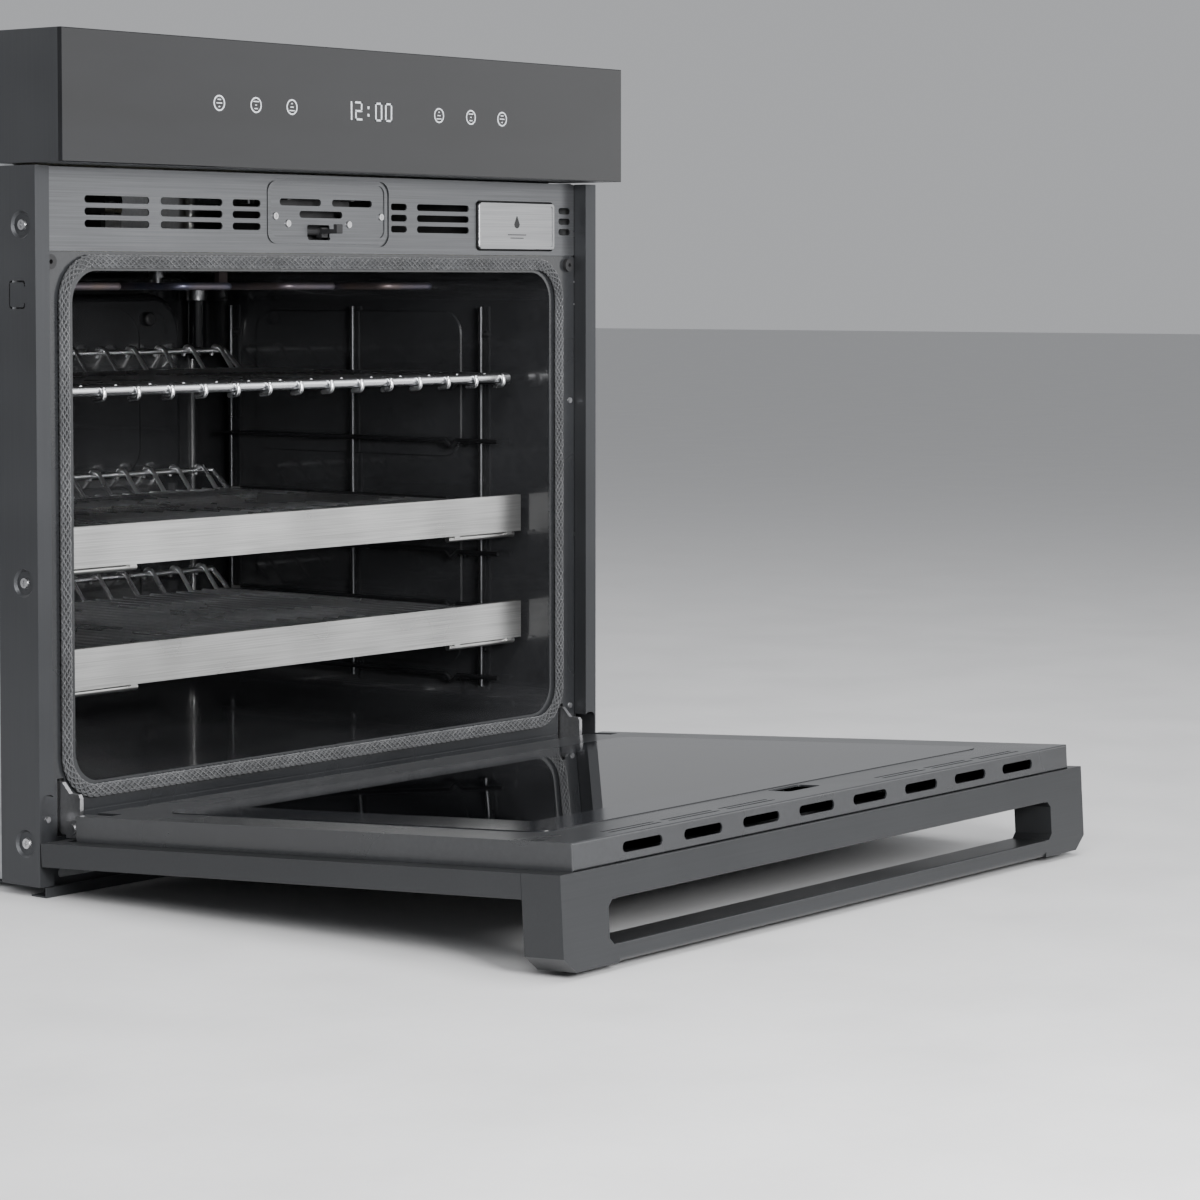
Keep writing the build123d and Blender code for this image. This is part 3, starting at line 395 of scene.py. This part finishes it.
def woven_yarn(color):
    """Matte glass yarn with fine twist."""
    made, tree, surface = material("woven_yarn", 0.0, Sheen_Weight=0.25)
    fibres = noise(tree, 1400.0, 2.0)
    soil = noise(tree, 25.0, 3.0)
    tree.links.new(tones(tree, soil, shade(color, 0.7), shade(color, 1.3)),
                   surface.inputs["Base Color"])
    tree.links.new(between(tree, fibres, 0.7, 0.9), surface.inputs["Roughness"])
    tree.links.new(relief(tree, fibres, 0.15 * MM), surface.inputs["Normal"])
    return made


def glass_wool(color):
    """Matted insulation fibres."""
    made, tree, surface = material("glass_wool", 0.0)
    mat = noise(tree, (60, 260, 60), 6.0, 0.7)
    tree.links.new(tones(tree, mat, shade(color, 0.6), shade(color, 1.2)),
                   surface.inputs["Base Color"])
    tree.links.new(between(tree, mat, 0.8, 1.0), surface.inputs["Roughness"])
    tree.links.new(relief(tree, mat, 1.5 * MM), surface.inputs["Normal"])
    return made


def frosted_tank(color):
    """Translucent moulded tank."""
    made, tree, surface = material("frosted_tank", 0.0, Transmission_Weight=0.35, IOR=1.46)
    frost = noise(tree, 420.0, 3.0)
    tree.links.new(tones(tree, frost, shade(color, 0.9), shade(color, 1.08)),
                   surface.inputs["Base Color"])
    tree.links.new(between(tree, frost, 0.35, 0.5), surface.inputs["Roughness"])
    tree.links.new(relief(tree, frost, 0.05 * MM), surface.inputs["Normal"])
    return made


def printed_ink(color):
    """Pale printed ink."""
    return coated("printed_ink", color, 0.0, 0.45, 700.0, 0.01 * MM, 0.06)


def dress(names, finish):
    """Give CAD nodes a material through their objects' slots."""
    for name in names.split():
        for place in nodes[name].material_slots:
            place.material = finish


# ---- mesh helpers ----
def new_piece(name, mesh, finish, body, replaced=()):
    """Link a finished mesh as a piece that rides on a body."""
    mesh.name = name
    mesh.materials.clear()
    mesh.materials.append(finish)
    piece = bpy.data.objects.new(name, mesh)
    bpy.context.scene.collection.objects.link(piece)
    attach(piece, body)
    if replaced:
        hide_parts(*replaced)
    return piece


def mesh_from_bmesh(bm, name):
    """A mesh with clean outward faces."""
    bmesh.ops.remove_doubles(bm, verts=bm.verts, dist=1e-6)
    bmesh.ops.recalc_face_normals(bm, faces=bm.faces)
    mesh = bpy.data.meshes.new(name)
    bm.to_mesh(mesh)
    bm.free()
    return mesh


def mesh_from_lines(name, lines, radius, closed):
    """Round yarns or wires along lines of (point, thickness) pairs, as one mesh."""
    curve = bpy.data.curves.new(name, "CURVE")
    curve.dimensions = "3D"
    curve.bevel_depth = radius
    curve.bevel_resolution = 0
    curve.use_fill_caps = not closed
    for line in lines:
        spline = curve.splines.new("POLY")
        spline.points.add(len(line) - 1)
        for point, (place, thick) in zip(spline.points, line):
            point.co = (*place, 1.0)
            point.radius = thick
        spline.use_cyclic_u = closed
    holder = bpy.data.objects.new(name, curve)
    mesh = bpy.data.meshes.new_from_object(holder)
    bpy.data.objects.remove(holder)
    bpy.data.curves.remove(curve)
    for face in mesh.polygons:
        face.use_smooth = True
    return mesh


def rounded_loop(centre, half_w, half_h, corner, step):
    """Points and outward directions round a rounded rectangle in the XZ plane."""
    flat_w, flat_h = half_w - corner, half_h - corner
    arc = math.pi / 2 * corner
    runs = (2 * flat_h, arc, 2 * flat_w, arc) * 2
    total = sum(runs)
    count = round(total / step)
    corners = ((flat_w, flat_h), (-flat_w, flat_h), (-flat_w, -flat_h), (flat_w, -flat_h))
    found = []
    for i in range(count):
        left = total * i / count
        part = 0
        while left > runs[part]:
            left -= runs[part]
            part += 1
        side = part // 2
        turn = side * math.pi / 2
        hub = Vector((corners[side][0], 0, corners[side][1]))
        if part % 2:
            angle = turn + left / corner
            out = Vector((math.cos(angle), 0, math.sin(angle)))
            place = hub + corner * out
        else:
            along = Vector((-math.sin(turn), 0, math.cos(turn)))
            out = Vector((math.cos(turn), 0, math.sin(turn)))
            place = hub + corner * out + (left - runs[part]) * along
        found.append((centre + place, out))
    return found, total


def bar(bm, x0, x1, z0, z1, face, rise):
    """A thin printed bar standing off the plane y = face."""
    made = bmesh.ops.create_cube(bm, size=1.0)
    middle = Vector(((x0 + x1) / 2, face - rise / 2, (z0 + z1) / 2))
    bmesh.ops.scale(bm, vec=(x1 - x0, rise, z1 - z0), verts=made["verts"])
    bmesh.ops.translate(bm, vec=middle, verts=made["verts"])


def ring(bm, x, z, radius, stroke, face, rise):
    """A thin printed ring standing off the plane y = face."""
    lay_up = Matrix.Rotation(math.pi / 2, 4, "X")
    made = bmesh.ops.create_circle(bm, segments=40, radius=radius, matrix=lay_up)
    edges = list({edge for vert in made["verts"] for edge in vert.link_edges})
    inner = bmesh.ops.extrude_edge_only(bm, edges=edges)["geom"]
    verts = [item for item in inner if isinstance(item, bmesh.types.BMVert)]
    faces = [item for item in inner if isinstance(item, bmesh.types.BMFace)]
    bmesh.ops.scale(bm, vec=((radius - stroke) / radius,) * 3, verts=verts)
    thick = bmesh.ops.extrude_face_region(bm, geom=faces, use_keep_orig=True)["geom"]
    raised = [item for item in thick if isinstance(item, bmesh.types.BMVert)]
    bmesh.ops.translate(bm, vec=(0, -rise, 0), verts=raised)
    bmesh.ops.translate(bm, vec=(x, face, z), verts=list(set(made["verts"] + verts + raised)))


SEGMENTS = {
    "0": "abcdef",
    "1": "bc",
    "2": "abged",
}


def digit(bm, text, x, z, tall, stroke, face, rise):
    """One seven-segment clock digit with its lower left corner at (x, z)."""
    wide = tall * 0.55
    half = tall / 2
    places = {
        "a": (x, x + wide, z + tall - stroke, z + tall),
        "g": (x, x + wide, z + half - stroke / 2, z + half + stroke / 2),
        "d": (x, x + wide, z, z + stroke),
        "b": (x + wide - stroke, x + wide, z + half, z + tall),
        "c": (x + wide - stroke, x + wide, z, z + half),
        "f": (x, x + stroke, z + half, z + tall),
        "e": (x, x + stroke, z, z + half),
    }
    for name in SEGMENTS[text]:
        bar(bm, *places[name], face, rise)


# ---- operators ----
class OvenOperator(bpy.types.Operator):
    """Shared settings access of the oven's operators."""
    bl_idname = "oven.base"
    bl_label = "Oven Base"

    @property
    def finish(self):
        """The oven's finish colours."""
        return bpy.context.scene.oven_finishes


class CasingFinish(OvenOperator):
    """Finish the casing, trims and control panel"""
    bl_idname = "oven.casing_finish"
    bl_label = "Casing Finish"

    def execute(self, context):
        colors = self.finish
        dress("side_trim_left side_trim_right bottom_vent_trim control_housing",
              trim_coat(colors.trim))
        dress("side_panels rear_panel top_cover base_pan junction_box",
              zinc_sheet(colors.zinc))
        dress("casing_screws", steel_plain(colors.steel))
        dress("control_glass", dark_glass(colors.glass))
        dress("control_board", plastic_matte(colors.plastic))
        return {"FINISHED"}


class FrontFinish(OvenOperator):
    """Finish the front face, vent panel, latch and water tank"""
    bl_idname = "oven.front_finish"
    bl_label = "Front Finish"

    def execute(self, context):
        colors = self.finish
        dress("upper_vent_panel latch_plate", vent_brush(colors.vent))
        dress("front_frame", enamel_satin(colors.liner))
        dress("door_bumpers", bpy.data.materials["plastic_matte"])
        dress("latch_motor tank_housing blower_housing", dark_sheet(colors.sheet))
        dress("latch_hook", bpy.data.materials["plastic_matte"])
        dress("tank_cover", tank_brush(colors.tank_face))
        dress("water_tank", frosted_tank(colors.tank))
        return {"FINISHED"}


class CavityFinish(OvenOperator):
    """Finish the cavity, its heaters, lamps and fan"""
    bl_idname = "oven.cavity_finish"
    bl_label = "Cavity Finish"

    def execute(self, context):
        colors = self.finish
        dress("cavity_liner fan_cover", enamel_gloss(colors.enamel))
        dress("ring_heater broil_element bake_element", heater_tube(colors.heater))
        dress("cavity_insulation", glass_wool(colors.wool))
        dress("corner_lamps", bpy.data.materials["dark_glass"])
        dress("lamp_caps convection_fan temperature_probe fan_motor",
              bpy.data.materials["steel_plain"])
        dress("fan_cover_knobs", bpy.data.materials["plastic_matte"])
        return {"FINISHED"}


class RackFinish(OvenOperator):
    """Finish the racks, ladders and rails"""
    bl_idname = "oven.rack_finish"
    bl_label = "Rack Finish"

    def execute(self, context):
        colors = self.finish
        dress("rack_top rack_mid rack_low", chrome_plate(colors.chrome))
        dress("rack_ladders", dull_plate(colors.ladder))
        dress("rack_mid_trim rack_low_trim", stainless_brush(colors.stainless))
        dress("fixed_rails sliding_rails_mid sliding_rails_low",
              bpy.data.materials["steel_plain"])
        return {"FINISHED"}


class DoorFinish(OvenOperator):
    """Finish the door, its panes and its handle"""
    bl_idname = "oven.door_finish"
    bl_label = "Door Finish"
    border: length_prop("Border", "Width of the printed border of the inner pane", 52 * MM)

    def execute(self, context):
        colors = self.finish
        dress("door_outer_frame handle_band handle_bar handle_ends", graphite(colors.graphite))
        dress("door_liner", bpy.data.materials["enamel_satin"])
        dress("door_outer_glass", bpy.data.materials["dark_glass"])
        dress("door_inner_glass",
              bordered_glass(colors.glass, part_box("door_inner_glass"), self.border))
        dress("door_middle_glass", clear_glass(colors.clear))
        dress("hinge_channels hinge_arms hinge_receivers spring_rods",
              bpy.data.materials["steel_plain"])
        return {"FINISHED"}


class InsideFinish(OvenOperator):
    """Finish the steam and cooling parts behind the panels"""
    bl_idname = "oven.inside_finish"
    bl_label = "Inside Finish"

    def execute(self, context):
        dress("steam_boiler blower_motor", bpy.data.materials["steel_plain"])
        dress("blower_wheel", bpy.data.materials["plastic_matte"])
        return {"FINISHED"}


class BraidedGasket(OvenOperator):
    """Braid the gasket that seals the door"""
    bl_idname = "oven.braided_gasket"
    bl_label = "Braided Gasket"
    flatness = 2.2
    yarn_margin = 1.25
    weave_lift = 0.1
    core_thickness = 1.6
    core_spacing = 1.9

    def execute(self, context):
        sizes = context.scene.oven_gasket
        low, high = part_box("cavity_gasket")
        thick = (high.y - low.y) / 2
        wide = self.flatness * thick
        centre = (low + high) / 2
        half_w = (high.x - low.x) / 2 - wide
        half_h = (high.z - low.z) / 2 - wide
        loop, total = rounded_loop(centre, half_w, half_h, sizes.corner, sizes.step)
        turns = round(total / sizes.lay)
        reach_out = wide - self.yarn_margin * sizes.yarn
        reach_front = thick - self.yarn_margin * sizes.yarn
        front = Vector((0, -1, 0))
        lines = []
        for way in (-1, 1):
            for k in range(sizes.pairs):
                line = []
                for i, (place, out) in enumerate(loop):
                    along = turns * 2 * math.pi * i / len(loop)
                    angle = way * along + 2 * math.pi * k / sizes.pairs
                    lift = 1 + self.weave_lift * way * math.cos(sizes.pairs * along)
                    offset = lift * (reach_out * math.cos(angle) * out
                                     + reach_front * math.sin(angle) * front)
                    line.append((place + offset, 1.0))
                lines.append(line)
        core = self.core_thickness * sizes.yarn
        for across in (-self.core_spacing, 0.0, self.core_spacing):
            lines.append([(place + across * core * out, self.core_thickness) for place, out in loop])
        mesh = mesh_from_lines("gasket_braid", lines, sizes.yarn, True)
        new_piece("gasket_braid", mesh, woven_yarn(self.finish.braid), "chassis",
                  ["cavity_gasket"])
        return {"FINISHED"}


class CoilSprings(OvenOperator):
    """Wind the door's counterbalance springs"""
    bl_idname = "oven.coil_springs"
    bl_label = "Coil Springs"
    coil_radius = 2.55 * MM
    fill = 0.97

    def execute(self, context):
        sizes = context.scene.oven_springs
        slide = next(joint for joint in frame["joints"] if joint["name"] == "spring_rod_slide")
        axis = Vector(slide["axis"]).normalized()
        low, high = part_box("door_springs")
        across = Vector((1, 0, 0))
        upward = axis.cross(across)
        length = (high.y - low.y) * self.fill
        radius = self.coil_radius
        middle = (low + high) / 2
        lines = []
        count = sizes.turns * sizes.sides
        for side in (low.x + radius + sizes.wire, high.x - radius - sizes.wire):
            hub = Vector((side, middle.y, middle.z))
            line = []
            for i in range(count + 1):
                angle = 2 * math.pi * i / sizes.sides
                along = (i / count - 0.5) * length
                place = hub + along * axis
                place += radius * (math.cos(angle) * across + math.sin(angle) * upward)
                line.append((place, 1.0))
            lines.append(line)
        mesh = mesh_from_lines("coil_springs", lines, sizes.wire, False)
        new_piece("coil_springs", mesh, bpy.data.materials["steel_plain"], "door",
                  ["door_springs"])
        return {"FINISHED"}


def colon(bm, x, middle, tall, dot, face, rise):
    """The two dots between the hours and the minutes."""
    for z in (middle - tall / 5, middle + tall / 5):
        bar(bm, x + tall / 4 - dot, x + tall / 4 + dot, z - dot, z + dot, face, rise)


def touch_key(bm, x, z, lengths, sizes, face):
    """A ring with three level bars in it, whose lengths tell the keys apart."""
    ring(bm, x, z, sizes.ring, sizes.stroke, face, sizes.relief)
    for row, share in zip((-1, 0, 1), lengths):
        reach = sizes.ring * 0.55 * share
        level = z + row * 2.4 * sizes.stroke
        half = sizes.stroke / 3
        bar(bm, x - reach, x + reach, level - half, level + half, face, sizes.relief)


class PanelMarks(OvenOperator):
    """Print a clock and touch keys on the control glass"""
    bl_idname = "oven.panel_marks"
    bl_label = "Panel Marks"
    advance_share = 0.8
    digit_stroke = 1.3
    dot_share = 0.9
    bar_shares = (0.9, 0.55, 0.25)
    first_key = 100 * MM

    def execute(self, context):
        sizes = context.scene.oven_marks
        low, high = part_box("control_glass")
        face = low.y
        middle = (low.z + high.z) / 2
        bm = bmesh.new()
        tall, stroke, rise = sizes.digit, sizes.stroke, sizes.relief
        advance = tall * self.advance_share
        start = -2.2 * advance
        for place, text in enumerate("12 00"):
            x = start + place * advance
            if text in SEGMENTS:
                digit(bm, text, x, middle - tall / 2, tall, self.digit_stroke * stroke, face, rise)
            else:
                colon(bm, x, middle, tall, self.dot_share * stroke, face, rise)
        bars = self.bar_shares
        for side in (-1, 1):
            for key in range(len(bars)):
                x = side * (self.first_key + key * sizes.pitch)
                touch_key(bm, x, middle, bars[key:] + bars[:key], sizes, face)
        mesh = mesh_from_bmesh(bm, "panel_marks")
        new_piece("panel_marks", mesh, printed_ink(self.finish.mark), "chassis")
        return {"FINISHED"}


class TankMark(OvenOperator):
    """Print a water drop on the tank's face"""
    bl_idname = "oven.tank_mark"
    bl_label = "Tank Mark"
    face_depth = 0.8 * MM
    taper = 0.55
    stretch = 0.9
    drop_lift = 2 * MM
    wave_depth = 9 * MM
    wave_pitch = 3.2 * MM
    wave_height = 0.9 * MM
    wave_reaches = (14 * MM, 10 * MM)

    def execute(self, context):
        sizes = context.scene.oven_marks
        low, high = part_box("tank_cover")
        face = low.y + self.face_depth
        middle_x, middle_z = (low.x + high.x) / 2, (low.z + high.z) / 2
        bm = bmesh.new()
        lay_up = Matrix.Rotation(math.pi / 2, 4, "X")
        made = bmesh.ops.create_circle(bm, segments=48, radius=sizes.drop, cap_ends=True,
                                       matrix=lay_up)
        for vert in made["verts"]:
            rise = max(0.0, vert.co.z / sizes.drop)
            vert.co.x *= 1 - self.taper * rise
            vert.co.z += self.stretch * sizes.drop * rise ** 2
        thick = bmesh.ops.extrude_face_region(bm, geom=list(bm.faces), use_keep_orig=True)["geom"]
        raised = [item for item in thick if isinstance(item, bmesh.types.BMVert)]
        bmesh.ops.translate(bm, vec=(0, -sizes.relief, 0), verts=raised)
        bmesh.ops.translate(bm, vec=(middle_x, face, middle_z + self.drop_lift), verts=list(bm.verts))
        wave = middle_z - self.wave_depth
        for row, reach in enumerate(self.wave_reaches):
            z = wave - row * self.wave_pitch
            bar(bm, middle_x - reach, middle_x + reach, z, z + self.wave_height, face,
                sizes.relief)
        mesh = mesh_from_bmesh(bm, "tank_mark")
        new_piece("tank_mark", mesh, plastic_matte(self.finish.plastic), "water_tank")
        return {"FINISHED"}


class StudioStage(OvenOperator):
    """Lay the floor, hang the soft lights and set the camera"""
    bl_idname = "oven.studio_stage"
    bl_label = "Studio Stage"

    def soft_light(self, name, place, aim, size, power):
        """A square soft light that looks at a point."""
        lamp = bpy.data.lights.new(name, "AREA")
        lamp.size = size
        lamp.energy = power
        holder = bpy.data.objects.new(name, lamp)
        holder.location = place
        holder.rotation_euler = (aim - place).to_track_quat("-Z", "Y").to_euler()
        bpy.context.scene.collection.objects.link(holder)

    def execute(self, context):
        stage = context.scene.oven_stage
        low, high = cad_box
        bm = bmesh.new()
        bmesh.ops.create_grid(bm, x_segments=8, y_segments=8, size=30.0)
        bmesh.ops.translate(bm, vec=(0, 0, low.z), verts=list(bm.verts))
        mesh = bpy.data.meshes.new("floor")
        bm.to_mesh(mesh)
        bm.free()
        mesh.materials.append(coated("floor_paper", stage.floor, 0.0, 0.6, 60.0, 0.02 * MM, 0.02))
        floor = bpy.data.objects.new("floor", mesh)
        context.scene.collection.objects.link(floor)
        world = bpy.data.worlds.new("surround")
        world.use_nodes = True
        surround = world.node_tree.nodes["Background"]
        surround.inputs["Color"].default_value = stage.sky
        surround.inputs["Strength"].default_value = stage.sky_strength
        context.scene.world = world
        centre = (low + high) / 2
        mouth = Vector((0, 0.3, 0.3))
        for name, place, aim, size, power in (
            ("key_light", (-2.6, -1.6, 2.3), centre, 1.8, 70),
            ("top_light", (0.3, -0.7, 2.6), centre, 2.0, 55),
            ("fill_light", (2.4, -2.6, 1.3), centre, 2.2, 30),
            ("mouth_light", (-0.9, -2.2, 0.85), mouth, 0.6, 85),
            ("rear_light", (-0.8, 3.0, 2.0), centre, 2.0, 45),
        ):
            self.soft_light(name, Vector(place), aim, size, power)
        lens = bpy.data.cameras.new("camera")
        lens.lens = stage.lens
        lens.sensor_width = 36
        lens.shift_y = stage.shift
        lens.clip_end = 100
        camera = bpy.data.objects.new("camera", lens)
        camera.location = stage.eye
        camera.rotation_euler = (math.pi / 2 - stage.tilt, 0, stage.turn)
        context.scene.collection.objects.link(camera)
        context.scene.camera = camera
        return {"FINISHED"}


class OvenPanel(bpy.types.Panel):
    """Lists the oven's steps and settings in the sidebar"""
    bl_idname = "VIEW3D_PT_oven"
    bl_label = "Wall Oven"
    bl_space_type = "VIEW_3D"
    bl_region_type = "UI"
    bl_category = "Oven"

    def draw(self, context):
        for operator in OPERATORS:
            self.layout.operator(operator.bl_idname)
        for name, group in SETTINGS.items():
            self.layout.label(text=group.__doc__)
            for key in group.__annotations__:
                self.layout.prop(getattr(context.scene, name), key)


OPERATORS = (CasingFinish, FrontFinish, CavityFinish, RackFinish, DoorFinish, InsideFinish,
             BraidedGasket, CoilSprings, PanelMarks, TankMark, StudioStage)
SETTINGS = {
    "oven_finishes": OvenFinishes,
    "oven_gasket": OvenGasket,
    "oven_springs": OvenSprings,
    "oven_marks": OvenMarks,
    "oven_stage": OvenStage,
}


def register():
    """Register the classes and hang the settings on the scene."""
    for item in (*SETTINGS.values(), *OPERATORS, OvenPanel):
        bpy.utils.register_class(item)
    for name, group in SETTINGS.items():
        setattr(bpy.types.Scene, name, bpy.props.PointerProperty(type=group))


def unregister():
    """Take the settings and classes away again."""
    for name in SETTINGS:
        delattr(bpy.types.Scene, name)
    for item in (OvenPanel, *reversed(OPERATORS), *reversed(SETTINGS.values())):
        bpy.utils.unregister_class(item)


def main():
    """Run every step."""
    register()
    for operator in OPERATORS:
        group, step = operator.bl_idname.split(".")
        getattr(getattr(bpy.ops, group), step)()


if __name__ == "__main__":
    main()
